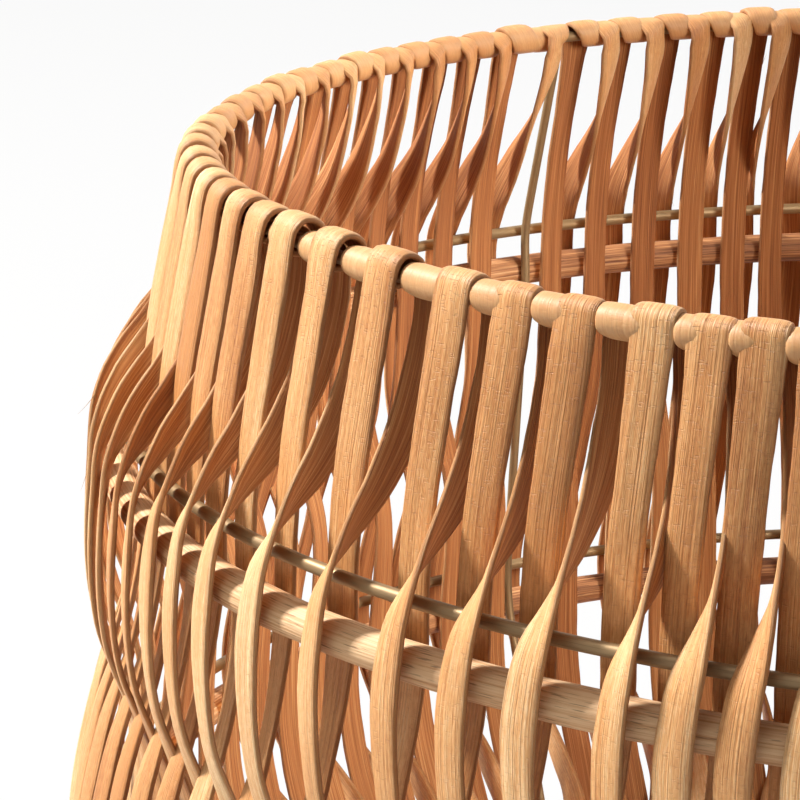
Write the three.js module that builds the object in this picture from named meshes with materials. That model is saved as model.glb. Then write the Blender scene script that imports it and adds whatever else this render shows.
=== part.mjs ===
import * as THREE from 'three';

// Round rattan lace basket, in millimetres, Z up, origin on the floor below its centre.
// A frame of wire rings, wire struts and round rattan hoops is laced with flat rattan strands.
// A strand comes up outside the rim wire, winds one and a half turns on it and goes down inside.
// It passes the hoops on alternate sides, turns under the base wire and comes up a pitch further on.

// Frame heights and radii
const rimRadius = 250;
const upperSpan = 85; // rim wire down to the upper hoop
const middleSpan = 124; // upper hoop down to the lower hoop
const lowerSpan = 85; // lower hoop down to the base wire
const upperBulge = 23; // upper hoop beyond the rim radius
const lowerBulge = 30; // lower hoop beyond the rim radius
const waistBulge = 25.5; // middle of the wall between the hoops
const baseInset = 4; // base wire inside the rim radius

// Rods and wires
const rimWireDiameter = 3.6;
const baseWireDiameter = 3.6;
const levelWireDiameter = 3.6;
const wireAboveHoop = 14.5;
const wireInset = 1.6; // level wire inside its hoop's radius
const hoopDiameter = 10;
const strutDiameter = 3;
const crossWireDiameter = 3;
const ringSegments = 36;
const wireSides = 6;
const hoopSides = 8;

// Lacing
const bays = 2; // of the wall, with a strut between them
const loopsPerBay = 45;
const loopsPerStrand = 5;
const strutGap = 2.2; // extra degrees between the two loops beside a strut
const strutOffset = 1.7; // degrees from the loop before a strut to the strut
const firstStrut = 135; // degrees
const crossWireOffset = 1.5; // degrees from a strut to the end of the first cross wire
const strandWidth = 10.8;
const strandCrown = 1.8; // flat pith face to the top of the bark
const pairPhase = 0.25; // pitches from a rising leg to the falling leg beside it
const waistHalfHeight = 16; // legs change sides within this distance of the waist
const waistStep = 3.5; // radial distance of a leg from the middle of the wall there
const standOff = 1.8; // lift of the leg that leaves the rim inside
const windTurns = 1.5;
const windSteps = 9; // facets in those turns
const turnSteps = 3; // facets in the half turn under the base

// Foot and floor
const footWidth = 13;
const footHeight = 11;
const footShoulder = 6.5; // height of the foot's straight sides
const floorLayers = 2;
const slatCount = 10; // in each layer
const slatWidth = 24;
const slatThickness = 2.2;

// Clearances
const seatGap = 0.3;
const windGap = 0.4; // between turns on the rim
const passGap = 0.9; // between legs that pass at the waist
const floorGap = 2; // floor slats to the rising legs

// Half legs, from a wire to the hoop next to it. The plain half leg starts outside the wire and
// ends inside the hoop. The turning one starts inside with its bark to the axis, turns over by
// half a turn where it passes its neighbour's edge, and ends outside the hoop.
// down: share of the span, reach: share of the way between the radii at its ends,
// phase: pitches, turn: degrees from the outward direction to the bark.
const plainHalf = [
  { down: 0.5, reach: 0.7, phase: 0, turn: 18 },
  { down: 1, reach: 1, phase: 0, turn: 5 },
];
const turningHalf = [
  { down: 0.21, reach: 0.11, phase: 0.37, turn: -112 },
  { down: 0.4, reach: 0.42, phase: 0.43, turn: -92 },
  { down: 0.71, reach: 0.86, phase: 0.34, turn: -36 },
  { down: 1, reach: 1, phase: 0.25, turn: -8 },
];
const waistPhase = { plain: -0.125, turning: 0.375 };
const waistTurn = -10;

// Derived sizes
const degree = Math.PI / 180;
const pitch = (360 / bays - strutGap) / loopsPerBay;
const ringOuter = 2 / (1 + Math.cos(Math.PI / ringSegments)); // corners of a faceted ring, per radius
const ringInner = ringOuter * Math.cos(Math.PI / ringSegments); // middles of its facets
const windFacet = Math.cos((windTurns * Math.PI) / windSteps);
const turnFacet = Math.cos((0.5 * Math.PI) / turnSteps);
const rimWindRadius = (rimWireDiameter / 2 + seatGap + rimRadius * (ringOuter - 1)) / windFacet;
const upperHoopRadius = rimRadius + upperBulge;
const lowerHoopRadius = rimRadius + lowerBulge;
const upperWireRadius = upperHoopRadius - wireInset;
const lowerWireRadius = lowerHoopRadius - wireInset;
const waistRadius = rimRadius + waistBulge;
const baseRadius = rimRadius - baseInset;
const baseTurnRadius = (baseWireDiameter / 2 + seatGap + baseRadius * (ringOuter - 1)) / turnFacet;
const baseZ = footHeight + seatGap + baseTurnRadius + strandCrown;
const lowerHoopZ = baseZ + lowerSpan;
const upperHoopZ = lowerHoopZ + middleSpan;
const rimZ = upperHoopZ + upperSpan;
const waistZ = (upperHoopZ + lowerHoopZ + wireAboveHoop) / 2;
const windWidth = 0.5 * pitch * degree * rimRadius - windGap;
const passWidth = Math.min(strandWidth, 0.5 * pitch * degree * waistRadius - passGap);

const rattanBark = { color: 0xd8ab74, roughness: 0.55, metalness: 0 };
const rattanRod = { color: 0xcda577, roughness: 0.7, metalness: 0 };
const rattanSlat = { color: 0xc2935f, roughness: 0.65, metalness: 0 };
const lacqueredWire = { color: 0xa8966c, roughness: 0.35, metalness: 0.8 };

const basket = new THREE.Group();

function addPiece(name, geometry, finish) {
  const piece = new THREE.Mesh(geometry, new THREE.MeshStandardMaterial(finish));
  piece.name = name;
  basket.add(piece);
  return piece;
}

function outward(angle) {
  return new THREE.Vector3(Math.cos(angle * degree), Math.sin(angle * degree), 0);
}

function around(angle) {
  return new THREE.Vector3(-Math.sin(angle * degree), Math.cos(angle * degree), 0);
}

function polar(angle, radius, height) {
  return outward(angle).multiplyScalar(radius).setZ(height);
}

// Rings about the Z axis from a closed profile of radius and height
function ringGeometry(profile) {
  const corners = [...profile, profile[0]].map((point) => new THREE.Vector2(point.x * ringOuter, point.y));
  return new THREE.LatheGeometry(corners, ringSegments).rotateX(Math.PI / 2);
}

function roundProfile(radius, height, diameter, sides) {
  const points = [];
  for (let i = 0; i < sides; i += 1) {
    const turn = (2 * Math.PI * i) / sides;
    const x = radius + (diameter / 2) * Math.cos(turn);
    const y = height + (diameter / 2) * Math.sin(turn);
    points.push(new THREE.Vector2(x, y));
  }
  return points;
}

// One cross section of a strand: two edges of the pith face and the crown of the bark
function strandSection(centre, bark, across, width) {
  const pith = centre.clone().addScaledVector(bark, -strandCrown / 2);
  return [
    pith.clone().addScaledVector(across, width / 2),
    centre.clone().addScaledVector(bark, strandCrown / 2),
    pith.clone().addScaledVector(across, -width / 2),
  ];
}

// A section on a leg, level, with its bark turned from the outward direction
function legSection(station, rising) {
  const bark = outward(station.angle + station.turn);
  const travel = new THREE.Vector3(0, 0, rising ? 1 : -1);
  const across = travel.clone().cross(bark);
  const centre = polar(station.angle, station.radius, station.height);
  return strandSection(centre, bark, across, station.width);
}

// A section on a wire, where the strand bends round it
function woundSection(angle, turn, wire, insideRadius, side, width) {
  const bark = outward(angle).multiplyScalar(Math.cos(turn)).setZ(Math.sin(turn));
  const centre = polar(angle, wire.radius, wire.height);
  centre.addScaledVector(bark, insideRadius + strandCrown / 2);
  return strandSection(centre, bark, around(angle).multiplyScalar(side), width);
}

// Radius of a strand's middle where it lies inside or outside a hoop
function hoopSeat(hoopRadius, side, turn) {
  const tilt = Math.abs(turn) * degree;
  const reach = (strandCrown / 2) * Math.cos(tilt) + (strandWidth / 2) * Math.sin(tilt);
  const facet = side > 0 ? ringOuter : ringInner;
  return hoopRadius * facet + side * (hoopDiameter / 2 + seatGap + reach);
}

// The two ends of the wall: the lower end is the upper one turned over about the waist
const rim = {
  radius: rimRadius, height: rimZ, bound: rimWindRadius, lift: standOff,
  hoopRadius: upperHoopRadius, span: upperSpan, sign: 1, phase: 0,
};
const base = {
  radius: baseRadius, height: baseZ, bound: baseTurnRadius, lift: 0,
  hoopRadius: lowerHoopRadius, span: lowerSpan, sign: -1, phase: pairPhase,
};

// Stations of a half leg from its wire to the waist, for a loop at a given angle
function halfLeg(loopAngle, end, turning) {
  const shape = turning ? turningHalf : plainHalf;
  const side = turning ? -1 : 1;
  const startOffset = end.bound + strandCrown / 2 + (turning ? end.lift : 0);
  const startRadius = end.radius + side * startOffset;
  const hoopTurn = shape[shape.length - 1].turn;
  const hoopRadius = hoopSeat(end.hoopRadius, -side, hoopTurn);
  const angleOf = (phase) => loopAngle + (end.phase + end.sign * phase) * pitch;
  const stations = shape.map((point) => ({
    angle: angleOf(point.phase),
    radius: THREE.MathUtils.lerp(startRadius, hoopRadius, point.reach),
    height: end.height - end.sign * end.span * point.down,
    turn: end.sign * point.turn,
    width: strandWidth,
  }));
  stations.push({
    angle: angleOf(turning ? waistPhase.turning : waistPhase.plain),
    radius: waistRadius - side * waistStep,
    height: waistZ + end.sign * waistHalfHeight,
    turn: end.sign * waistTurn,
    width: passWidth,
  });
  return stations;
}

// A leg that rises inside the base wire and ends outside the rim wire
function risingLeg(loopAngle) {
  const lower = halfLeg(loopAngle, base, true);
  const upper = halfLeg(loopAngle, rim, false).reverse();
  return [...lower, ...upper].map((station) => legSection(station, true));
}

// A leg that falls inside the rim wire and ends outside the base wire
function fallingLeg(loopAngle) {
  const upper = halfLeg(loopAngle, rim, true);
  const lower = halfLeg(loopAngle, base, false).reverse();
  return [...upper, ...lower].map((station) => legSection(station, false));
}

// One and a half turns on the rim wire, from outside over the top, moving back round the rim
function rimWinding(loopAngle) {
  const sections = [];
  for (let i = 0; i <= windSteps; i += 1) {
    const share = i / windSteps;
    const angle = loopAngle - share * (1 - pairPhase) * pitch;
    const turn = 2 * Math.PI * windTurns * share;
    const lift = i === windSteps ? standOff : 0;
    sections.push(woundSection(angle, turn, rim, rimWindRadius + lift, 1, windWidth));
  }
  return sections;
}

// Half a turn under the base wire, from the falling leg outside to the rising leg inside
function baseTurn(fromAngle, toAngle, firstStep, lastStep) {
  const sections = [];
  for (let i = firstStep; i <= lastStep; i += 1) {
    const share = i / turnSteps;
    const angle = THREE.MathUtils.lerp(fromAngle, toAngle, share);
    sections.push(woundSection(angle, -Math.PI * share, base, baseTurnRadius, -1, strandWidth));
  }
  return sections;
}

// Skin over a row of sections with the same number of corners, with a cap at each end
function loftGeometry(sections) {
  const corners = sections[0].length;
  const index = [];
  const last = (sections.length - 1) * corners;
  for (let j = 1; j + 1 < corners; j += 1) {
    index.push(0, j, j + 1, last, last + j + 1, last + j);
  }
  for (let i = 0; i + 1 < sections.length; i += 1) {
    for (let j = 0; j < corners; j += 1) {
      const a = i * corners + j;
      const b = i * corners + ((j + 1) % corners);
      index.push(a, a + corners, b, b, a + corners, b + corners);
    }
  }
  const geometry = new THREE.BufferGeometry().setFromPoints(sections.flat());
  geometry.setIndex(index);
  return geometry;
}

function loopAngleAt(loop) {
  const bay = Math.floor(loop / loopsPerBay);
  const step = loop - bay * loopsPerBay;
  const strut = firstStrut + (bay * 360) / bays;
  return strut + strutGap - strutOffset + (step + 1) * pitch;
}

function addStrands() {
  const loops = bays * loopsPerBay;
  for (let first = 0; first < loops; first += loopsPerStrand) {
    const top = first + loopsPerStrand - 1;
    const sections = baseTurn(loopAngleAt(top), loopAngleAt(top), turnSteps, turnSteps);
    for (let loop = top; loop >= first; loop -= 1) {
      const angle = loopAngleAt(loop);
      const pairAngle = angle - pitch;
      const fallAngle = angle - (1 - pairPhase) * pitch;
      const nextAngle = loopAngleAt(loop - 1);
      const stop = loop === first ? 0 : turnSteps;
      sections.push(...risingLeg(angle), ...rimWinding(angle), ...fallingLeg(pairAngle));
      sections.push(...baseTurn(fallAngle, nextAngle, 0, stop));
    }
    const number = String(first / loopsPerStrand + 1).padStart(2, '0');
    addPiece(`strand_${number}`, loftGeometry(sections), rattanBark);
  }
}

function addRings() {
  const wireRing = (radius, height, diameter) =>
    ringGeometry(roundProfile(radius, height, diameter, wireSides));
  const hoopRing = (radius, height) =>
    ringGeometry(roundProfile(radius, height, hoopDiameter, hoopSides));
  addPiece('rim_wire', wireRing(rimRadius, rimZ, rimWireDiameter), lacqueredWire);
  const upperWireZ = upperHoopZ + wireAboveHoop;
  const lowerWireZ = lowerHoopZ + wireAboveHoop;
  addPiece('upper_wire', wireRing(upperWireRadius, upperWireZ, levelWireDiameter), lacqueredWire);
  addPiece('lower_wire', wireRing(lowerWireRadius, lowerWireZ, levelWireDiameter), lacqueredWire);
  addPiece('base_wire', wireRing(baseRadius, baseZ, baseWireDiameter), lacqueredWire);
  addPiece('upper_hoop', hoopRing(upperHoopRadius, upperHoopZ), rattanRod);
  addPiece('lower_hoop', hoopRing(lowerHoopRadius, lowerHoopZ), rattanRod);
}

// Struts inside the hoops and level wires, from the base wire up to the rim wire
function strutSection(angle, radius, height) {
  const section = [];
  for (let i = 0; i < wireSides; i += 1) {
    const turn = (360 * i) / wireSides;
    section.push(polar(angle, radius, height).addScaledVector(outward(angle - turn), strutDiameter / 2));
  }
  return section;
}

function addStruts() {
  const inside = (radius, diameter) => radius * ringInner - diameter / 2 - seatGap - strutDiameter / 2;
  for (let bay = 0; bay < bays; bay += 1) {
    const angle = firstStrut + (bay * 360) / bays;
    const sections = [
      strutSection(angle, baseRadius, baseZ + baseWireDiameter / 2 + seatGap),
      strutSection(angle, inside(lowerHoopRadius, hoopDiameter), lowerHoopZ),
      strutSection(angle, inside(lowerWireRadius, levelWireDiameter), lowerHoopZ + wireAboveHoop),
      strutSection(angle, inside(upperHoopRadius, hoopDiameter), upperHoopZ),
      strutSection(angle, inside(upperWireRadius, levelWireDiameter), upperHoopZ + wireAboveHoop),
      strutSection(angle, rimRadius, rimZ - rimWireDiameter / 2 - seatGap),
    ];
    addPiece(`strut_${bay + 1}`, loftGeometry(sections), lacqueredWire);
  }
}

// Rattan foot ring, flat below and domed above, under the turns of the strands
function addFoot() {
  const domeSteps = 4;
  const half = footWidth / 2;
  const profile = [
    new THREE.Vector2(baseRadius - half, 0),
    new THREE.Vector2(baseRadius + half, 0),
  ];
  for (let i = 0; i <= domeSteps; i += 1) {
    const turn = (Math.PI * i) / domeSteps;
    const height = footShoulder + (footHeight - footShoulder) * Math.sin(turn);
    profile.push(new THREE.Vector2(baseRadius + half * Math.cos(turn), height));
  }
  addPiece('foot_hoop', ringGeometry(profile), rattanRod);
}

// Two wires across the base ring, one just over the other, between the rising legs
function addCrossWires() {
  const length = 2 * (baseRadius * ringInner - baseWireDiameter / 2 - seatGap);
  const lift = (crossWireDiameter + seatGap) / 2;
  const radius = crossWireDiameter / 2;
  const middleLoop = Math.floor(loopsPerBay / 2) - 1;
  const angles = [firstStrut + crossWireOffset, loopAngleAt(middleLoop) + pitch / 2];
  angles.forEach((angle, i) => {
    const geometry = new THREE.CylinderGeometry(radius, radius, length, wireSides);
    const wire = addPiece(`base_cross_wire_${i + 1}`, geometry, lacqueredWire);
    wire.rotation.z = (angle - 90) * degree;
    wire.position.z = baseZ + (i === 0 ? lift : -lift);
  });
}

// Floor of two crossed layers of flat rattan slats, cut to a disc, lying on the upper cross wire
function addFloor() {
  const floorRadius = baseRadius - baseTurnRadius - strandCrown - floorGap;
  const slatPitch = (2 * floorRadius) / slatCount;
  const lowerFace = baseZ + seatGap / 2 + crossWireDiameter + seatGap;
  const halfChord = (y) => Math.sqrt(floorRadius ** 2 - y ** 2);
  for (let layer = 0; layer < floorLayers; layer += 1) {
    const group = new THREE.Group();
    group.rotation.z = (firstStrut + crossWireOffset + ((layer + 1) * 180) / floorLayers) * degree;
    group.position.z = lowerFace + layer * (slatThickness + seatGap);
    basket.add(group);
    for (let i = 0; i < slatCount; i += 1) {
      const middle = (i + 0.5) * slatPitch - floorRadius;
      const edges = [middle - slatWidth / 2, middle + slatWidth / 2];
      const outline = new THREE.Shape([
        new THREE.Vector2(-halfChord(edges[0]), edges[0]),
        new THREE.Vector2(halfChord(edges[0]), edges[0]),
        new THREE.Vector2(halfChord(edges[1]), edges[1]),
        new THREE.Vector2(-halfChord(edges[1]), edges[1]),
      ]);
      const geometry = new THREE.ExtrudeGeometry(outline, { depth: slatThickness, bevelEnabled: false });
      const number = String(i + 1).padStart(2, '0');
      const name = `floor_${layer === 0 ? 'lower' : 'upper'}_slat_${number}`;
      group.add(addPiece(name, geometry, rattanSlat));
    }
  }
}

addStrands();
addRings();
addStruts();
addFoot();
addCrossWires();
addFloor();

export default basket;
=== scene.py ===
import math

import bmesh
import bpy
import numpy as np
from mathutils import Matrix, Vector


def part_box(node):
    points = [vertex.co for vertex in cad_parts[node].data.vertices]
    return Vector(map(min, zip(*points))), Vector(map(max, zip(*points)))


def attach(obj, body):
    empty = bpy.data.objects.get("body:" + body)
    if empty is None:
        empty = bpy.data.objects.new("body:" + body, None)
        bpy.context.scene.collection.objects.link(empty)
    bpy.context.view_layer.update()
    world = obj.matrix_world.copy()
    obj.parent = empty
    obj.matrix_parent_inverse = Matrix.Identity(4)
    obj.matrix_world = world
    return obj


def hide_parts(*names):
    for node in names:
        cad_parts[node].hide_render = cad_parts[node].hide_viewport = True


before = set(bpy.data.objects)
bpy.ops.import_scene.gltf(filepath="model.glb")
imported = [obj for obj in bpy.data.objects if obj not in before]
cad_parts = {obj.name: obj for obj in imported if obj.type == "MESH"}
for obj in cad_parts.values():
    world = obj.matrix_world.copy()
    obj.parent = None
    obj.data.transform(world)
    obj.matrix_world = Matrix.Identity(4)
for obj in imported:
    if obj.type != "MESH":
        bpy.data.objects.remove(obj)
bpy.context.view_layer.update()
scene = bpy.context.scene
scene.view_settings.view_transform = "Standard"
print("frame loaded:", len(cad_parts), "nodes")

# sizes in metres, angles in degrees, the same as on the solids
basket = dict(
    rimRadius=0.250, baseRadius=0.246, upperHoopRadius=0.273, lowerHoopRadius=0.280,
    waistRadius=0.2755, ringWire=0.0036, hoop=0.010, strut=0.003, crossWire=0.003,
    crossOffset=1.5, wireAboveHoop=0.0145, wireInset=0.0016, seatGap=0.0003,
)


def midHeight(node):
    low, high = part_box(node)
    return (low.z + high.z) / 2


height = {key: midHeight(key) for key in ("rim_wire", "upper_hoop", "lower_hoop", "base_wire")}
waistHeight = (height["upper_hoop"] + height["lower_hoop"] + basket["wireAboveHoop"]) / 2


def tone(red, green, blue):  # a screen colour as the linear one that a shader takes
    linear = [((c / 255 + 0.055) / 1.055) ** 2.4 for c in (red, green, blue)]
    return (*linear, 1)


class Link:  # a socket, so that shader maths reads as an expression
    def __init__(self, finish, socket):
        self.finish = finish
        self.socket = socket

    def math(self, operation, first, second):
        return self.finish.node("Math", {"operation": operation}, {0: first, 1: second})

    def __add__(self, other):
        return self.math("ADD", self, other)

    def __radd__(self, other):
        return self.math("ADD", other, self)

    def __sub__(self, other):
        return self.math("SUBTRACT", self, other)

    def __rsub__(self, other):
        return self.math("SUBTRACT", other, self)

    def __mul__(self, other):
        return self.math("MULTIPLY", self, other)

    def __rmul__(self, other):
        return self.math("MULTIPLY", other, self)


class Finish:  # a node tree with the calls that the finishes below share
    def __init__(self, owner):
        owner.use_nodes = True
        self.owner = owner
        self.tree = owner.node_tree
        self.tree.nodes.clear()

    def node(self, kind, settings, inputs, output=0):
        made = self.tree.nodes.new("ShaderNode" + kind)
        for key, value in settings.items():
            if key == "stops":
                while len(made.color_ramp.elements) < len(value):
                    made.color_ramp.elements.new(0.5)
                for stop, (place, colour) in zip(made.color_ramp.elements, value):
                    stop.position = place
                    stop.color = colour
            else:
                setattr(made, key, value)
        for key, value in inputs.items():
            if isinstance(value, Link):
                self.tree.links.new(value.socket, made.inputs[key])
            else:
                made.inputs[key].default_value = value
        return Link(self, made.outputs[output]) if made.outputs else made

    def read(self, name, output):
        return self.node("Attribute", {"attribute_name": name}, {}, output)

    def noise(self, grain, stretch, detail=2.0):
        vector = self.node("VectorMath", {"operation": "MULTIPLY"}, {0: grain, 1: stretch})
        return self.node("TexNoise", {}, {"Vector": vector, "Scale": 1.0, "Detail": detail})

    def above(self, value, low, high):  # 0 below low, 1 above high
        return self.node("MapRange", {}, {"Value": value, "From Min": low, "From Max": high})

    def marks(self, grain, look, name):  # sparse marks, where a noise comes over its cut
        return self.above(self.noise(grain, look["grain"][name], 1), *look["cuts"][name])

    def ramp(self, value, *stops):
        return self.node("ValToRGB", {"stops": stops}, {"Fac": value})

    def blend(self, factor, first, second):
        return self.node("Mix", {"data_type": "RGBA"}, {0: factor, 6: first, 7: second}, 2)

    def bump(self, heightValue, strength, distance):
        return self.node("Bump", {}, {"Height": heightValue, "Strength": strength, "Distance": distance})

    def surface(self, sockets):
        shader = self.node("BsdfPrincipled", {}, sockets)
        self.node("OutputMaterial", {}, {"Surface": shader})
        return self.owner


# grain is how fine a noise is along a piece and across it, cuts are where a mark starts and is full
strandLook = dict(
    bark=[(0.0, tone(150, 86, 40)), (0.3, tone(195, 132, 75)), (0.62, tone(222, 167, 109)),
          (1.0, tone(245, 211, 161))],
    pith=[(0.0, tone(112, 60, 28)), (0.4, tone(160, 98, 52)), (0.7, tone(186, 124, 72)),
          (1.0, tone(214, 162, 108))],
    calm=tone(206, 158, 110), fleck=tone(128, 80, 42), warm=tone(206, 142, 82),
    grain=dict(fibre=(26, 3400, 1), streak=(8, 900, 1), cloud=(14, 80, 1), speck=(420, 2200, 1),
               fleck=(110, 2600, 1), line=(11, 2700, 1), tick=(2800, 480, 1)),
    cuts=dict(fleck=(0.66, 0.74), line=(0.55, 0.68), tick=(0.62, 0.7), warm=(1.2, 2.8),
              worn=(0.000011, 0.000023)),
    roughness=0.52, relief=0.0006,
    glow=0.12, glowReach=(1.0, 0.5, 0.24), glowDepth=0.0015,
)


def splitRattan():
    look, fine = strandLook, strandLook["grain"]
    f = Finish(bpy.data.materials.new("splitRattan"))
    grain = f.read("grain", "Vector")
    tint, pith, bend, wound = (f.read(name, "Fac") for name in ("tint", "pith", "bend", "wound"))
    fibre = f.noise(grain, fine["fibre"])
    streak = f.noise(grain, fine["streak"])
    cloud = f.noise(grain, fine["cloud"])
    speck = f.noise(grain, fine["speck"])
    fleck = f.marks(grain, look, "fleck")
    line = f.marks(grain, look, "line")
    tick = f.marks(grain, look, "tick") * (0.15 + bend * 0.2)
    across = f.node("SeparateXYZ", {}, {0: grain}, 1)
    worn = f.above(across * across, *look["cuts"]["worn"])
    # tint carries each strand's own random tone plus the painted shade or light of its legs
    shade = 0.5 + (fibre - 0.5) * 0.8 + (streak - 0.5) * 0.3 + (speck - 0.5) * 0.6
    shade = shade + (cloud - 0.5) * 0.8 + tint * 0.14
    bark = f.ramp(shade, *look["bark"])
    # darker tints turn warmer, so the legs painted darker for shade also turn more orange
    bark = f.blend(f.above(cloud * 2 - tint, *look["cuts"]["warm"]) * 0.6, bark, look["warm"])
    bark = f.blend(fleck * 0.25 + line * 0.2 + worn * 0.3, bark, look["fleck"])
    bark = f.blend(tick, bark, look["fleck"])
    bark = f.blend(wound * 0.6, bark, look["calm"])
    inner = f.ramp(0.5 + (fibre - 0.5) * 1.5 + (streak - 0.5) * 0.7 + tint * 0.1, *look["pith"])
    relief = (fibre * 0.8 + streak * 0.15 - line * 0.3 - tick) * (1 - wound * 0.7)
    return f.surface({
        "Base Color": f.blend(pith, bark, inner),
        "Roughness": look["roughness"] + (fibre - 0.5) * 0.25 + pith * 0.3,
        "Normal": f.bump(relief, 0.7, look["relief"]),
        "Subsurface Weight": look["glow"],
        "Subsurface Radius": look["glowReach"],
        "Subsurface Scale": look["glowDepth"],
    })


rodLook = dict(
    lines=[(0.0, tone(116, 68, 38)), (0.35, tone(176, 120, 76)), (0.65, tone(208, 158, 110)),
           (1.0, tone(232, 194, 150))],
    grain=dict(line=(22, 1700, 1700), band=(9, 300, 300), pore=(130, 2400, 2400)),
    pore=tone(104, 58, 32), cuts=dict(pore=(0.63, 0.7)), roughness=0.68, relief=0.0006,
)


def peeledRod():
    look, fine = rodLook, rodLook["grain"]
    f = Finish(bpy.data.materials.new("peeledRod"))
    grain = f.read("grain", "Vector")
    tint = f.read("tint", "Fac")
    line = f.noise(grain, fine["line"], 3)
    band = f.noise(grain, fine["band"])
    pore = f.marks(grain, look, "pore")
    # on the rods the tint is painted light and shade: lighter towards the front, darker on the far side
    shade = 0.5 + (line - 0.5) * 1.6 + (band - 0.5) * 0.8 + tint * 0.4
    colour = f.blend(pore * 0.5, f.ramp(shade, *look["lines"]), look["pore"])
    return f.surface({
        "Base Color": colour,
        "Roughness": look["roughness"] + (line - 0.5) * 0.2,
        "Normal": f.bump(line - pore * 0.3, 0.6, look["relief"]),
    })


slatLook = dict(
    peel=[(0.0, tone(150, 98, 54)), (0.5, tone(198, 146, 92)), (1.0, tone(226, 182, 128))],
    grain=dict(line=(12, 700, 700), cloud=(9, 60, 60)), roughness=0.6, relief=0.0005,
)


def flatPeel():
    look, fine = slatLook, slatLook["grain"]
    f = Finish(bpy.data.materials.new("flatPeel"))
    grain = f.read("grain", "Vector")
    tint = f.read("tint", "Fac")
    line = f.noise(grain, fine["line"], 3)
    cloud = f.noise(grain, fine["cloud"])
    shade = 0.5 + (line - 0.5) * 1.4 + (cloud - 0.5) * 1.2 + tint * 0.2
    return f.surface({
        "Base Color": f.ramp(shade, *look["peel"]),
        "Roughness": look["roughness"] + (line - 0.5) * 0.25,
        "Normal": f.bump(line, 0.5, look["relief"]),
    })


wireLook = dict(
    lacquer=tone(150, 124, 88), worn=tone(92, 70, 46),
    grain=dict(cloud=(60, 500, 500), scratch=(40, 3200, 3200)),
    cuts=dict(scratch=(0.6, 0.72), worn=(0.5, 0.75)), roughness=0.46, metal=0.5, relief=0.0003,
)


def lacqueredWire():
    look = wireLook
    f = Finish(bpy.data.materials.new("lacqueredWire"))
    grain = f.read("grain", "Vector")
    cloud = f.noise(grain, look["grain"]["cloud"], 3)
    scratch = f.marks(grain, look, "scratch")
    worn = f.above(cloud, *look["cuts"]["worn"])
    return f.surface({
        "Base Color": f.blend(worn * 0.5 + scratch * 0.3, look["lacquer"], look["worn"]),
        "Roughness": look["roughness"] + worn * 0.15 + scratch * 0.1,
        "Metallic": look["metal"],
        "Normal": f.bump(cloud, 0.15, look["relief"]),
    })


finishes = dict(
    rattan_strand=splitRattan(), rattan_rod=peeledRod(),
    rattan_slat=flatPeel(), frame_wire=lacqueredWire(),
)
print("finishes made:", len(finishes))


def skin(points, closed):
    # quads over rows of section points. A closed skin has its last row joined to its first.
    rows, corners = points.shape[:2]
    steps = rows if closed else rows - 1
    i, j = np.meshgrid(np.arange(steps), np.arange(corners), indexing="ij")
    ends = ((0, 0), (0, 1), (1, 1), (1, 0))
    row = np.stack([i + a for a, b in ends], -1).reshape(-1, 4)
    column = np.stack([(j + b) % corners for a, b in ends], -1).reshape(-1, 4)
    return row, column


def addPiece(name, node, slot, points, closed, **values):
    # values are given for each row and corner, with one row more where the skin is closed
    rows, corners = points.shape[:2]
    row, column = skin(points, closed)
    faces = (((row % rows) * corners) + column).tolist()
    order = [row.ravel(), column.ravel()]
    if not closed:
        around = np.arange(corners)
        faces += [around.tolist(), (around + (rows - 1) * corners).tolist()]
        order[0] = np.concatenate([order[0], 0 * around, 0 * around + rows - 1])
        order[1] = np.concatenate([order[1], around, around])
    mesh = bpy.data.meshes.new(name)
    mesh.from_pydata(points.reshape(-1, 3).tolist(), [], faces)
    for key, table in values.items():
        data = table[order[0], order[1]]
        kind, field = ("FLOAT_VECTOR", "vector") if data.ndim == 2 else ("FLOAT", "value")
        attribute = mesh.attributes.new(key, kind, "CORNER")
        attribute.data.foreach_set(field, data.astype(np.float32).ravel())
    work = bmesh.new()
    work.from_mesh(mesh)
    bmesh.ops.recalc_face_normals(work, faces=work.faces)
    work.to_mesh(mesh)
    work.free()
    mesh.shade_smooth()
    mesh.materials.append(finishes[slot])
    piece = bpy.data.objects.new(name, mesh)
    scene.collection.objects.link(piece)
    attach(piece, "root")
    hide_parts(node)


def outward(angle):
    angle = np.radians(angle)
    return np.stack([np.cos(angle), np.sin(angle), 0 * angle], -1)


def polar(angle, radius, level):
    place = outward(angle) * np.asarray(radius)[..., None]
    place[..., 2] = level
    return place


def unit(vectors):
    return vectors / np.linalg.norm(vectors, axis=-1, keepdims=True)


def smoothThrough(keys, places, samples):
    # values on a smooth curve through keys at growing places, with its slope
    span = np.diff(places)[:, None]
    rate = np.diff(keys, axis=0) / span
    slope = np.empty_like(keys)
    slope[1:-1] = (rate[:-1] * span[1:] + rate[1:] * span[:-1]) / (span[1:] + span[:-1])
    slope[0] = rate[0]
    slope[-1] = rate[-1]
    i = np.clip(np.searchsorted(places, samples, side="right") - 1, 0, len(span) - 1)
    h = span[i]
    t = ((samples - places[i])[:, None]) / h
    a, b, ma, mb = keys[i], keys[i + 1], slope[i] * h, slope[i + 1] * h
    value = (2 * t**3 - 3 * t**2 + 1) * a + (t**3 - 2 * t**2 + t) * ma
    value += (3 * t**2 - 2 * t**3) * b + (t**3 - t**2) * mb
    change = (6 * t**2 - 6 * t) * (a - b) + (3 * t**2 - 4 * t + 1) * ma + (3 * t**2 - 2 * t) * mb
    return value, change / h


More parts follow.
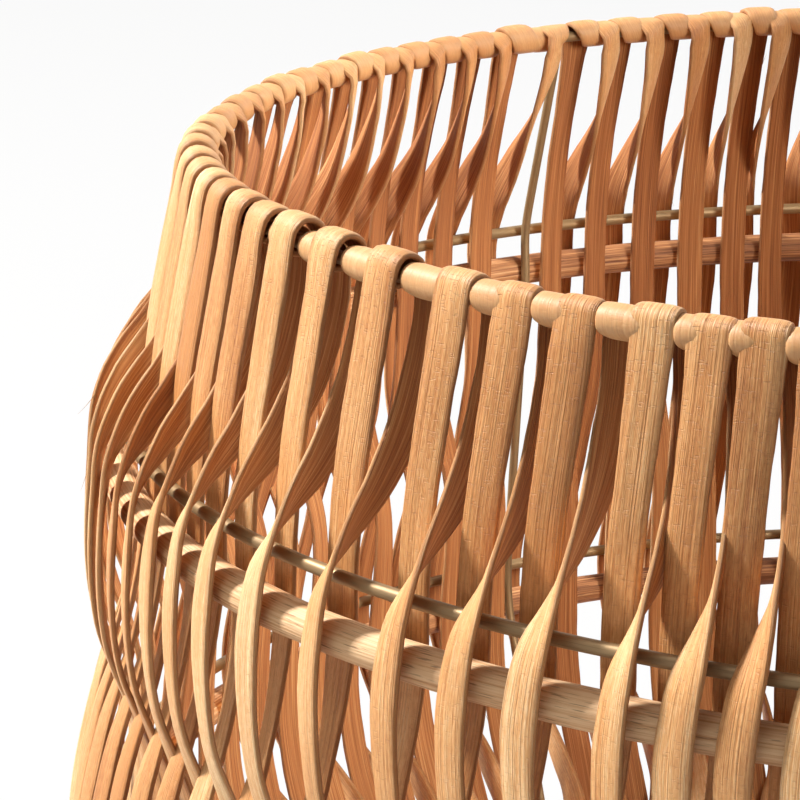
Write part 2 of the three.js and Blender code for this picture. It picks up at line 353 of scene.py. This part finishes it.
lacing = dict(
    bays=2, loopsPerBay=45, loopsPerStrand=5, strutGap=2.2, strutOffset=1.7, firstStrut=135,
    width=0.0098, plainWidth=0.0094, crown=0.0018, edge=0.0008, pairPhase=0.25, seatTurn=5,
    waistHalf=0.016, waistStep=0.005, waistTurn=-10, passWidth=0.0086, neckEnd=0.35, exitEnd=0.4,
    legStep=0.0035, shortStep=0.0018, windBound=0.0022, turnBound=0.0026, turnStep=20,
    # a tone for each leg: the legs inside the hoops are painted darker as painted shade, the outer legs
    # paler as painted light, on top of their own tone
    woundCrown=0.0019, woundWidth=0.0114, standOff=0.0018, paintedInnerShadeOuterLight=(-0.5, 0.8),
    legFullness=4.5, woundFullness=6.0,
)
# how far hand work strays, as the spread of a draw
chance = dict(angle=0.12, phase=0.015, twist=4, width=0.05, tint=0.9)
# down, reach and phase are shares of the span, the radii and the pitch; turn is the bark's, in degrees
plainHalf = [(0.1, 0.14, 0.0, 5), (0.3, 0.44, 0.0, 9), (0.55, 0.79, 0.0, 9), (0.82, 0.98, 0.0, 6),
             (1.0, 1.0, 0.0, 4)]
fallingHalf = [(0.07, 0.01, 0.43, -150), (0.14, 0.03, 0.45, -143), (0.24, 0.09, 0.48, -135),
               (0.4, 0.23, 0.51, -118), (0.55, 0.46, 0.52, -90), (0.71, 0.76, 0.47, -50),
               (0.86, 0.95, 0.39, -22), (1.0, 1.0, 0.33, -12)]
risingHalf = [(0.21, 0.11, 0.37, -112), (0.4, 0.42, 0.43, -92), (0.71, 0.86, 0.34, -36),
              (1.0, 1.0, 0.25, -10)]
# how far loops sit from even pitch, and how far loose ones stand off the rim, by angle
spacing = dict(
    angles=[95, 113.5, 117.5, 121.5, 133.5, 139.5, 151, 163, 175, 200, 222.4, 226.4, 230.3, 234.3,
            238.2, 242.2, 246.1, 250.1, 254, 258, 275],
    shifts=[0, 0.5, -0.3, -0.8, -0.6, 0, -1.0, -2.2, -2.3, 0.3, -2.3, -1.6, -0.5, 1.1, 1.4, 1.8, 2.3,
            1.5, 0.5, -0.1, 0],
    slackAngles=[182, 196, 226, 240], slack=[0, 0.0024, 0.0022, 0],
)
pitch = (360 / lacing["bays"] - lacing["strutGap"]) / lacing["loopsPerBay"]
loops = lacing["bays"] * lacing["loopsPerBay"]


def strutAngle(bay):
    return lacing["firstStrut"] + bay * 360 / lacing["bays"]


def loopAngles():
    # the rising leg of each loop, the one before it, and where its own falling leg counts from
    draw = np.random.default_rng(7)
    angles, pairs = [], []
    for loop in range(loops):
        bay, step = divmod(loop, lacing["loopsPerBay"])
        clear = strutAngle(bay) + lacing["strutGap"] - lacing["strutOffset"]
        even = clear + (step + 1) * pitch
        shift = np.interp(even % 360, spacing["angles"], spacing["shifts"])
        pairs.append(angles[-1] if step else clear)
        angles.append(even + shift + draw.normal(0, chance["angle"]))
    befores = [angles[-1] - 360] + angles[:-1]
    return angles, befores, pairs


angleOf, beforeOf, pairOf = loopAngles()
rim = dict(radius=basket["rimRadius"], level=height["rim_wire"], bound=lacing["windBound"],
           lift=lacing["standOff"], hoopRadius=basket["upperHoopRadius"],
           hoopLevel=height["upper_hoop"], sign=1, phase=0.0, waist=(-0.12, 0.4))
base = dict(radius=basket["baseRadius"], level=height["base_wire"], bound=lacing["turnBound"],
            lift=0.0, hoopRadius=basket["lowerHoopRadius"],
            hoopLevel=height["lower_hoop"], sign=-1, phase=lacing["pairPhase"], waist=(-0.14, 0.42))


def slackOf(angle):
    return np.interp(angle % 360, spacing["slackAngles"], spacing["slack"])


def hoopSeat(hoopRadius, side, turn):
    # where a turned leg just clears a rod
    tilt = math.radians(abs(turn) + lacing["seatTurn"])
    reach = lacing["crown"] / 2 * math.cos(tilt) + lacing["width"] / 2 * math.sin(tilt)
    return hoopRadius + side * (basket["hoop"] / 2 + basket["seatGap"] + reach)


def halfLeg(loopAngle, end, shape, draw, leaving=None):
    # key sections from a wire to the waist: centre, bark direction, then the numbers named in addStrand
    side = 1 if shape is plainHalf else -1
    start = end["radius"] + side * (end["bound"] + lacing["woundCrown"] / 2)
    start += slackOf(loopAngle) * (end is rim) if side > 0 else -end["lift"]
    seat = hoopSeat(end["hoopRadius"], -side, shape[-1][3])
    sign, span = end["sign"], end["level"] - end["hoopLevel"]
    wander, twist = draw.normal(0, chance["phase"]), draw.normal(0, chance["twist"])
    broad = lacing["plainWidth" if side > 0 else "width"] * (1 + draw.normal(0, chance["width"]))
    neck = (lacing["woundWidth"] - broad) * (side > 0)
    # the leg's tone: painted shade on the inner legs, painted light on the outer legs
    pale = lacing["paintedInnerShadeOuterLight"][(end is rim) == (side < 0)]
    keys = []
    for down, reach, phase, turn in shape:
        if leaving is not None:
            phase += (leaving - shape[0][2]) * max(0, 1 - down / lacing["exitEnd"])
        angle = loopAngle + (end["phase"] + sign * (phase + wander * down)) * pitch
        radius = start + (seat - start) * reach
        bark = outward(angle + sign * (turn + twist))
        bend = max(0, 0.5 - 2 * down) * (side > 0)
        keys.append((polar(angle, radius, end["level"] - span * down), bark,
                     broad + neck * max(0, 1 - down / lacing["neckEnd"]),
                     lacing["crown"], lacing["legFullness"], bend, 0, pale))
    angle = loopAngle + (end["phase"] + sign * (end["waist"][side < 0] + wander / 2)) * pitch
    radius = basket["waistRadius"] - side * lacing["waistStep"]
    bark = outward(angle + sign * (twist / 2 + lacing["waistTurn"]))
    middle = polar(angle, radius, waistHeight + sign * lacing["waistHalf"])
    keys.append((middle, bark, lacing["passWidth"], lacing["crown"], lacing["legFullness"], 0, 0, pale))
    return keys


bead = dict(
    twoFrom=0.0135, tuck=0.0014, spare=0.0006, narrowest=0.0066, widest=0.015,
    exitBack=0.12, exitLeast=0.3, exitAtStrut=0.12, exitMost=0.52,
)


def beadPlan(loop):
    # places and width of the turns that fill the rim back to the loop before, and where the strand leaves it
    arc = math.radians(angleOf[loop] - beforeOf[loop]) * rim["radius"]
    gap = arc - lacing["woundWidth"]
    beads = 2 if gap > bead["twoFrom"] else 1
    tuck = bead["tuck"]
    spots = [0.0] + [lacing["woundWidth"] / 2 + (i + 0.5) * gap / beads - tuck for i in range(beads)]
    width = min(bead["widest"], max(bead["narrowest"], gap / beads + 2 * tuck + bead["spare"]))
    last = angleOf[loop] - math.degrees(spots[-1] / rim["radius"])
    least = bead["exitLeast" if loop % lacing["loopsPerBay"] else "exitAtStrut"]
    leaving = min(bead["exitMost"], max(least, (last - pairOf[loop]) / pitch - bead["exitBack"]))
    return spots, width, leaving


# turns are counted around the rim wire in degrees: 0 outside it, 90 above, 180 inside
winding = dict(
    start=24, over=70, step=15, exit=180, exitTwist=25, exitWidth=0.0099, crossWidth=0.0098, crossShare=0.92,
    beadTurns=(140, 330, 400, 440), beadShares=(0.06, 0.95, 1, 1),
    looseness=(0.85, 1.2), looseShare=0.2, looseExtra=(0.4, 1.2),
    lifts=[0.0001, 0.0009, 0.0009, 0, 0.0002], slackShares=[1, 1.1, 0.7, 0],
)


def rimWinding(loop, draw):
    spots, beadWidth, leaving = beadPlan(loop)
    start, full = winding["start"], lacing["woundFullness"]
    exitBack = math.radians(angleOf[loop] - pairOf[loop] - leaving * pitch) * rim["radius"]
    ends = [start, winding["over"]]
    backs = [0, 0]
    for i, (here, there) in enumerate(zip(spots, spots[1:])):
        ends += [turn + 360 * i for turn in winding["beadTurns"]]
        backs += [here + (there - here) * share for share in winding["beadShares"]]
    last = winding["exit"] + 360 * (len(spots) - 1)
    turns = np.append(np.arange(start, last - 5, winding["step"]), last)
    back = np.interp(turns, ends + [last], backs + [exitBack])
    loose = draw.uniform(*winding["looseness"])
    loose += (draw.random() < winding["looseShare"]) * draw.uniform(*winding["looseExtra"])
    lift = loose * np.interp(turns, [start, 75, 140, 240, last - 60, last],
                             winding["lifts"] + [lacing["standOff"] / loose])
    lift += slackOf(angleOf[loop]) * np.interp(turns, [start, 75, 140, 240], winding["slackShares"])
    crossWidth = max(winding["crossWidth"], beadWidth * winding["crossShare"])
    widths = [lacing["woundWidth"]] * 2 + [crossWidth, beadWidth, beadWidth, winding["exitWidth"]]
    width = np.interp(turns, [0, winding["over"], 140, 330, last - 100, last], widths)
    fullness = np.interp(turns, [0, 60, 140, 330, last - 90, last], [3, 5, 5, full, full, 3])
    bend = np.interp(turns, [0, 45, 120, 200], [0.6, 1, 0.3, 0])
    wound = np.interp(turns, [60, 150, last - 60, last], [0, 1, 1, 0])
    twist = np.radians(np.interp(turns, [last - 50, last], [0, winding["exitTwist"]]))
    keys = []
    for i, turn in enumerate(np.radians(turns)):
        angle = angleOf[loop] - math.degrees(back[i] / rim["radius"])
        out = outward(angle) * math.cos(turn)
        out[2] = math.sin(turn)
        centre = polar(angle, rim["radius"], rim["level"])
        centre = centre + out * (rim["bound"] + lift[i] + lacing["woundCrown"] / 2)
        bark = out * math.cos(twist[i]) - outward(angle + 90) * math.sin(twist[i])
        keys.append((centre, bark, width[i], lacing["woundCrown"], fullness[i], bend[i], wound[i], 0))
    return keys


def baseTurn(fromAngle, toAngle, turns):
    keys = []
    for turn in turns:
        angle = fromAngle + (toAngle - fromAngle) * turn / 180
        bark = outward(angle) * math.cos(math.radians(turn))
        bark[2] = -math.sin(math.radians(turn))
        centre = polar(angle, base["radius"], base["level"])
        centre = centre + bark * (base["bound"] + lacing["woundCrown"] / 2)
        keys.append((centre, bark, lacing["width"], lacing["woundCrown"], 3, 0.5, 0, 0))
    return keys


def strandKeys(number, draw):
    # all the way along a strand, with the places where a leg starts
    first = number * lacing["loopsPerStrand"]
    top = first + lacing["loopsPerStrand"] - 1
    keys = baseTurn(angleOf[top], angleOf[top], [180])
    marks = []
    for loop in range(top, first - 1, -1):
        angle, pair = angleOf[loop], pairOf[loop]
        leaving = beadPlan(loop)[2]
        marks.append(len(keys))
        keys += halfLeg(angle, base, risingHalf, draw) + halfLeg(angle, rim, plainHalf, draw)[::-1]
        keys += rimWinding(loop, draw)
        marks.append(len(keys))
        keys += halfLeg(pair, rim, fallingHalf, draw, leaving) + halfLeg(pair, base, plainHalf, draw)[::-1]
        fall = pair + lacing["pairPhase"] * pitch
        keys += baseTurn(fall, beforeOf[loop], [0] if loop == first else range(0, 181, lacing["turnStep"]))
    return keys, marks


section = dict(
    bark=np.array([-1, -0.985, -0.93, -0.8, -0.55, -0.25, 0, 0.25, 0.55, 0.8, 0.93, 0.985, 1]),
    pith=np.array([0.95, 0.6, 0.2, -0.2, -0.6, -0.95]),
    hollow=np.array([0.0, 0.05, 0.1, 0.1, 0.05, 0.0]),
    edgePith=0.3, edgeLow=0.4, edgeRise=(0.6, 0.2), waves=(0.011, 0.023, 0.047, 0.09), waveShare=0.012,
)
# moves each strand, and its pith face, to its own part of the noise
grainShift = dict(along=7.3, between=1.7, pith=0.03)
fullTurn = 6.28  # radians
across = np.concatenate([section["bark"], section["pith"]])
inner = (np.arange(len(across)) >= len(section["bark"])) * 1.0
inner[[0, len(section["bark"]) - 1]] = section["edgePith"]


def strandRise(crown, fullness):
    # height of each corner over the pith face, for rows of sections
    least, rise = section["edgeRise"]
    edge = lacing["edge"] * (least + rise * fullness)[:, None]
    top = edge + (crown[:, None] - edge) * (1 - np.abs(section["bark"]) ** fullness[:, None])
    top[:, [0, -1]] = edge * section["edgeLow"]
    return np.concatenate([top, crown[:, None] * section["hollow"]], 1)


strandRoutes = []


def addStrand(number):
    draw = np.random.default_rng(200 + number)
    keys, marks = strandKeys(number, draw)
    centres = np.array([k[0] for k in keys])
    gaps = np.linalg.norm(np.diff(centres, axis=0), axis=1)
    places = np.concatenate([[0], np.cumsum(gaps)])
    steps = np.where(gaps < lacing["shortStep"], 1, np.maximum(2, np.ceil(gaps / lacing["legStep"])))
    runs = [np.linspace(a, b, int(n), endpoint=False) for a, b, n in zip(places, places[1:], steps)]
    samples = np.concatenate(runs + [places[-1:]])
    centre, travel = smoothThrough(centres, places, samples)
    travel = unit(travel)
    bark, _ = smoothThrough(np.array([k[1] for k in keys]), places, samples)
    bark = unit(bark - travel * (bark * travel).sum(1, keepdims=True))
    sizes, _ = smoothThrough(np.array([k[2:] for k in keys], float), places, samples)
    width, crown, fullness, bend, wound, pale = sizes.T
    square = np.clip(wound, 0, 1)[:, None]
    along = np.cross((0, 0, 1), centre)
    side = unit(np.cross(travel, bark) * (1 - square) + unit(along) * square)
    rough = np.zeros((2, len(samples)))
    for length in section["waves"]:
        phases = draw.uniform(0, fullTurn, (2, 1))
        rough += np.sin(samples / length * fullTurn + phases) * section["waveShare"]
    edges = np.where(across < 0, 1 + rough[0][:, None], 1 + rough[1][:, None]) * width[:, None] / 2
    points = centre[:, None] + side[:, None] * (edges * across)[..., None]
    points += bark[:, None] * (strandRise(crown, fullness) - crown[:, None] / 2)[..., None]
    # the strand's own random tone plus each leg's painted shade or painted light
    tint = np.interp(samples, places[marks], draw.normal(0, chance["tint"], len(marks))) + pale
    rows, corners = points.shape[:2]
    grain = np.empty((rows, corners, 3))
    grain[..., 0] = samples[:, None] + number * grainShift["along"]
    grain[..., 1] = edges * across + inner * grainShift["pith"]
    grain[..., 2] = number * grainShift["between"]
    strandRoutes.append((centre, travel, bark, side, width / 2))
    name = f"{number + 1:02d}"
    spread = np.ones((rows, corners))
    addPiece("lacedStrand" + name, "strand_" + name, "rattan_strand", points, False, grain=grain,
             tint=spread * tint[:, None], bend=spread * bend[:, None], wound=spread * wound[:, None],
             pith=spread * inner)


for number in range(loops // lacing["loopsPerStrand"]):
    addStrand(number)
print("strands laced:", len(strandRoutes))

fray = dict(
    count=260, length=(0.003, 0.007), thickness=0.00013, taper=0.85, steps=5, inset=0.97, depth=0.0003,
    lean=(-0.5, 0.9), lift=(0.05, 0.3), curl=(-0.25, 0.3), lowest=0.03, overRim=0.003,
)


def addFibres():
    draw = np.random.default_rng(31)
    ring = np.radians([90, 210, 330])
    t = np.linspace(0, 1, fray["steps"])[:, None]
    top = rim["level"] + rim["bound"] + lacing["woundCrown"]
    hairs = []
    while len(hairs) < fray["count"]:
        centre, travel, bark, side, half = strandRoutes[draw.integers(len(strandRoutes))]
        at = draw.integers(len(centre))
        edge = draw.choice([-1, 1])
        start = centre[at] + side[at] * edge * half[at] * fray["inset"] - bark[at] * fray["depth"]
        along = travel[at] * draw.choice([-1, 1])
        away = unit(side[at] * edge + bark[at] * draw.uniform(*fray["lean"]))
        length = draw.uniform(*fray["length"])
        lift, curl = draw.uniform(*fray["lift"]), draw.uniform(*fray["curl"])
        line = start + length * (along * t + away * (lift * t + curl * t**2 * (1 - lift)))
        if line[:, 2].min() < fray["lowest"] or line[:, 2].max() > top + fray["overRim"]:
            continue
        thick = fray["thickness"] * (1 - fray["taper"] * t)[:, None]
        v = unit(np.cross(along, away))
        hairs.append(line[:, None] + thick * (away * np.cos(ring)[:, None] + v * np.sin(ring)[:, None]))
    faces = []
    for i, hair in enumerate(hairs):
        row, column = skin(hair, False)
        first, last = i * len(t) * 3, (i + 1) * len(t) * 3 - 3
        faces += (first + row * 3 + column).tolist()
        faces += [[first, first + 1, first + 2], [last, last + 2, last + 1]]
    points = np.concatenate(hairs).reshape(-1, 3)
    mesh = bpy.data.meshes.new("looseFibres")
    mesh.from_pydata(points.tolist(), [], faces)
    grain = mesh.attributes.new("grain", "FLOAT_VECTOR", "POINT")
    grain.data.foreach_set("vector", points.astype(np.float32).ravel())
    mesh.shade_smooth()
    mesh.materials.append(finishes["rattan_strand"])
    piece = bpy.data.objects.new("looseFibres", mesh)
    scene.collection.objects.link(piece)
    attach(piece, "root")


addFibres()
print("loose fibres:", fray["count"])


def roundSection(diameter, corners):
    turn = np.linspace(0, 2 * np.pi, corners, endpoint=False)
    return np.stack([np.cos(turn), np.sin(turn)], -1) * diameter / 2


def roundCorner(half, corner):  # from a flat underside up to the side
    turn = np.linspace(0, np.pi / 2, 4)
    return np.stack([half - corner + corner * np.sin(turn), corner - corner * np.cos(turn)], -1)


# rows and corners of a ring, its swells, the angle at which the rods are painted lightest, and a grain step
rings = dict(
    rows=540, wireCorners=14, rodCorners=28, rodSwell=0.05, swells=(5, 13, 29, 47),
    paintedLightAt=250, grainStep=31,
)


def addRing(name, node, slot, radius, level, section, uneven=0.0):
    rows = rings["rows"]
    draw = np.random.default_rng(len(name) * 13 + int(level * 1000))
    turn = np.linspace(0, 2 * np.pi, rows, endpoint=False)
    swell = sum(np.sin(k * turn + draw.uniform(0, fullTurn)) for k in rings["swells"]) * uneven / 4
    section = section[None] * (1 + swell[:, None, None])
    reach = radius + section[..., 0]
    x, y = reach * np.cos(turn)[:, None], reach * np.sin(turn)[:, None]
    points = np.stack([x, y, level + section[..., 1]], -1)
    around = np.linspace(0, 2 * np.pi, rows + 1)
    grain = np.empty((rows + 1, section.shape[1], 3))
    grain[..., 0] = (around * radius)[:, None] + level * rings["grainStep"]
    grain[:-1, :, 1:] = section
    grain[-1, :, 1:] = section[0]
    # painted light and shade around the ring: the rod is lighter towards the front and darker on the far
    # side
    paintedLight = np.cos(around - math.radians(rings["paintedLightAt"]))
    tint = np.repeat(paintedLight[:, None], section.shape[1], 1)
    addPiece(name, node, slot, points, True, grain=grain, tint=tint)


wires = dict(corners=12, step=0.003, softened=6, endScale=0.7)


def addWire(name, node, route, diameter):
    # a wire with soft bends at the points of its route, narrowed at its ends
    route = np.array(route)
    places = np.concatenate([[0], np.cumsum(np.linalg.norm(np.diff(route, axis=0), axis=1))])
    samples = np.linspace(0, places[-1], int(places[-1] / wires["step"]))
    line = np.stack([np.interp(samples, places, axis) for axis in route.T], -1)
    for _ in range(wires["softened"]):
        line[1:-1] = (line[:-2] + 2 * line[1:-1] + line[2:]) / 4
    travel = unit(np.gradient(line, axis=0))
    aside = outward(np.array(17.0)) + np.array([0, 0, 0.3])  # along none of the wires
    u = unit(np.cross(travel, aside))
    v = np.cross(travel, u)
    section = roundSection(diameter, wires["corners"])
    scale = np.ones((len(line), 1, 1))
    scale[[0, -1]] = wires["endScale"]
    points = line[:, None] + scale * (u[:, None] * section[:, :1] + v[:, None] * section[:, 1:])
    grain = np.empty((len(line), len(section), 3))
    grain[..., 0] = samples[:, None]
    grain[..., 1:] = section
    addPiece(name, node, "frame_wire", points, False, grain=grain)


wireSection = roundSection(basket["ringWire"], rings["wireCorners"])
hoopSection = roundSection(basket["hoop"], rings["rodCorners"])
upperWireRadius = basket["upperHoopRadius"] - basket["wireInset"]
lowerWireRadius = basket["lowerHoopRadius"] - basket["wireInset"]
upperWireLevel = height["upper_hoop"] + basket["wireAboveHoop"]
lowerWireLevel = height["lower_hoop"] + basket["wireAboveHoop"]
addRing("rimWire", "rim_wire", "frame_wire", basket["rimRadius"], height["rim_wire"], wireSection)
addRing("upperWire", "upper_wire", "frame_wire", upperWireRadius, upperWireLevel, wireSection)
addRing("lowerWire", "lower_wire", "frame_wire", lowerWireRadius, lowerWireLevel, wireSection)
addRing("baseWire", "base_wire", "frame_wire", basket["baseRadius"], height["base_wire"], wireSection)
addRing("upperRod", "upper_hoop", "rattan_rod", basket["upperHoopRadius"], height["upper_hoop"],
        hoopSection, rings["rodSwell"])
addRing("lowerRod", "lower_hoop", "rattan_rod", basket["lowerHoopRadius"], height["lower_hoop"],
        hoopSection, rings["rodSwell"])

foot = dict(width=0.013, height=0.011, shoulder=0.0065, corner=0.0012)


def footSection():
    half = foot["width"] / 2
    right = roundCorner(half, foot["corner"])
    dome = np.linspace(0, np.pi, 13)
    rise = foot["height"] - foot["shoulder"]
    over = np.stack([half * np.cos(dome), foot["shoulder"] + rise * np.sin(dome)], -1)
    left = right[::-1] * (-1, 1)
    return np.concatenate([right, over, left])


addRing("footRod", "foot_hoop", "rattan_rod", basket["baseRadius"], 0.0, footSection())

for bay in range(lacing["bays"]):
    angle = strutAngle(bay)
    gap = basket["seatGap"] * 2 + basket["strut"] / 2
    stops = [
        (basket["baseRadius"], height["base_wire"] + basket["ringWire"] / 2 + basket["seatGap"]),
        (basket["lowerHoopRadius"] - basket["hoop"] / 2 - gap, height["lower_hoop"]),
        (lowerWireRadius - basket["ringWire"] / 2 - gap, lowerWireLevel),
        (basket["upperHoopRadius"] - basket["hoop"] / 2 - gap, height["upper_hoop"]),
        (upperWireRadius - basket["ringWire"] / 2 - gap, upperWireLevel),
        (basket["rimRadius"], height["rim_wire"] - rim["bound"] - lacing["woundCrown"] - basket["seatGap"]),
    ]
    route = [polar(np.array(angle), radius, level) for radius, level in stops]
    addWire(f"strutWire{bay + 1}", f"strut_{bay + 1}", route, basket["strut"])

halfBay = (lacing["loopsPerBay"] // 2 + 0.5) * pitch
crossAngles = [basket["crossOffset"], lacing["strutGap"] - lacing["strutOffset"] + halfBay]
for number, offset in enumerate(crossAngles, 1):
    angle = lacing["firstStrut"] + offset
    reach = basket["baseRadius"] - base["bound"] - lacing["woundCrown"] - 2 * basket["seatGap"]
    level = midHeight(f"base_cross_wire_{number}")
    route = [polar(np.array(angle + 180), reach, level), polar(np.array(angle), reach, level)]
    addWire(f"crossWire{number}", f"base_cross_wire_{number}", route, basket["crossWire"])
print("rods and wires made")


slat = dict(
    count=10, width=0.024, thickness=0.0022, edge=0.0007, radius=0.2393, offset=1.5, steps=40, endPinch=0.6,
)


def slatSection():
    half, thick = slat["width"] / 2, slat["thickness"]
    corner = roundCorner(half, slat["edge"])
    right = np.concatenate([corner, corner[::-1] * (1, -1) + (0, thick)])
    crossing = np.linspace(0.7, -0.7, 6)[:, None] * (half, 0)
    return np.concatenate([right, crossing + (0, thick), (right * (-1, 1))[::-1], -crossing])


def addSlat(layer, number):
    node = f"floor_{layer}_slat_{number:02d}"
    low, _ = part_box(node)
    draw = np.random.default_rng(number * 3 + len(layer))
    section = slatSection()
    middle = (number - 0.5) * 2 * slat["radius"] / slat["count"] - slat["radius"]
    y = middle + section[:, 0]
    chord = np.sqrt(slat["radius"] ** 2 - y**2)
    share = np.concatenate([[-1], np.linspace(-0.995, 0.995, slat["steps"]), [1]])
    x = share[:, None] * chord[None]
    turn = math.radians(lacing["firstStrut"] + slat["offset"] + (90 if layer == "lower" else 180))
    pinch = np.where(np.abs(share) == 1, slat["endPinch"], 1.0)[:, None]
    z = low.z + slat["thickness"] / 2 + (section[None, :, 1] - slat["thickness"] / 2) * pinch
    turned = [x * math.cos(turn) - y * math.sin(turn), x * math.sin(turn) + y * math.cos(turn)]
    points = np.stack([*turned, z + 0 * x], -1)
    grain = np.stack([x + number, y + 0 * x, z + 0 * x + layer.count("u")], -1)
    tint = np.full(x.shape, draw.normal(0, 1))
    addPiece(f"{layer}Slat{number:02d}", node, "rattan_slat", points, False, grain=grain, tint=tint)


for layer in ("lower", "upper"):
    for number in range(1, slat["count"] + 1):
        addSlat(layer, number)
print("floor slats made")


stage = dict(
    floorRadius=5.0, floorTone=0.55, white=0.965, floorWhite=0.9, ambient=0.16,
    ambientTone=(1, 0.87, 0.74, 1), aim=(-0.05, -0.05, 0.2),
)


def seenDirectly(f):
    camera = f.node("LightPath", {}, {}, "Is Camera Ray")
    glossy = f.node("LightPath", {}, {}, "Is Glossy Ray")
    through = f.node("LightPath", {}, {}, "Is Transmission Ray")
    return camera + glossy + through


def addFloor():
    mesh = bpy.data.meshes.new("studioFloor")
    work = bmesh.new()
    bmesh.ops.create_circle(work, cap_ends=True, segments=96, radius=stage["floorRadius"])
    work.to_mesh(mesh)
    work.free()
    f = Finish(bpy.data.materials.new("paleFloor"))
    pale = f.node("BsdfDiffuse", {}, {"Color": (*[stage["floorTone"]] * 3, 1)})
    glow = f.node("Emission", {}, {"Strength": 1.0})
    mixed = f.node("MixShader", {}, {0: seenDirectly(f) * stage["floorWhite"], 1: pale, 2: glow})
    f.node("OutputMaterial", {}, {"Surface": mixed})
    mesh.materials.append(f.owner)
    floor = bpy.data.objects.new("studioFloor", mesh)
    scene.collection.objects.link(floor)


def addWorld():
    scene.world = bpy.data.worlds.new("studioWorld")
    f = Finish(scene.world)
    dim = f.node("Background", {}, {"Color": stage["ambientTone"], "Strength": stage["ambient"]})
    white = f.node("Background", {}, {"Color": (1, 1, 1, 1), "Strength": stage["white"]})
    mixed = f.node("MixShader", {}, {0: seenDirectly(f), 1: dim, 2: white})
    f.node("OutputWorld", {}, {"Surface": mixed})


lamps = dict(
    keyBox=dict(place=(-2.15, 0.1, 2.2), size=0.4, power=164, colour=(1, 0.98, 0.95)),
    fillBox=dict(place=(2.0, 1.6, 1.6), size=1.4, power=30, colour=(1, 0.98, 0.96)),
    topBox=dict(place=(-0.9, -0.7, 2.6), size=1.6, power=13, colour=(1, 0.98, 0.96)),
    insideBox=dict(place=(0.14, -0.1, 0.38), size=0.2, power=0.5, colour=(1, 0.95, 0.88), spread=64,
                   at=(-0.24, 0.09, 0.18)),
)


def stand(holder, place, right, up, back):
    turned = Matrix(np.stack([right, up, back], -1).tolist()).to_4x4()
    holder.matrix_world = Matrix.Translation(place) @ turned
    scene.collection.objects.link(holder)


def addLamp(name, place, size, power, colour, spread=180, at=stage["aim"]):
    lamp = bpy.data.lights.new(name, "AREA")
    lamp.spread = math.radians(spread)
    lamp.size = size
    lamp.energy = power
    lamp.color = colour
    holder = bpy.data.objects.new(name, lamp)
    holder.visible_camera = False
    back = unit(np.array(place) - at)
    right = unit(np.cross((0, 0, 1), back))
    stand(holder, place, right, np.cross(back, right), back)


shot = dict(
    lens=163.2, sensor=36, near=0.01, place=(0.0, -1.0269, 0.5024), yaw=-10.82, dip=14.72, roll=0.466,
)


def addCamera():
    yaw, dip, roll = (math.radians(shot[k]) for k in ("yaw", "dip", "roll"))
    ahead = np.array([math.sin(yaw) * math.cos(dip), math.cos(yaw) * math.cos(dip), -math.sin(dip)])
    right = np.array([math.cos(yaw), -math.sin(yaw), 0])
    up = np.cross(right, ahead)
    turned = right * math.cos(roll) + up * math.sin(roll)
    upright = up * math.cos(roll) - right * math.sin(roll)
    data = bpy.data.cameras.new("photoCamera")
    data.sensor_width = shot["sensor"]
    data.lens = shot["lens"]
    data.clip_start = shot["near"]
    camera = bpy.data.objects.new("photoCamera", data)
    stand(camera, shot["place"], turned, upright, -ahead)
    scene.camera = camera


addFloor()
addWorld()
for name, lamp in lamps.items():
    addLamp(name, **lamp)
addCamera()
print("stage lit")
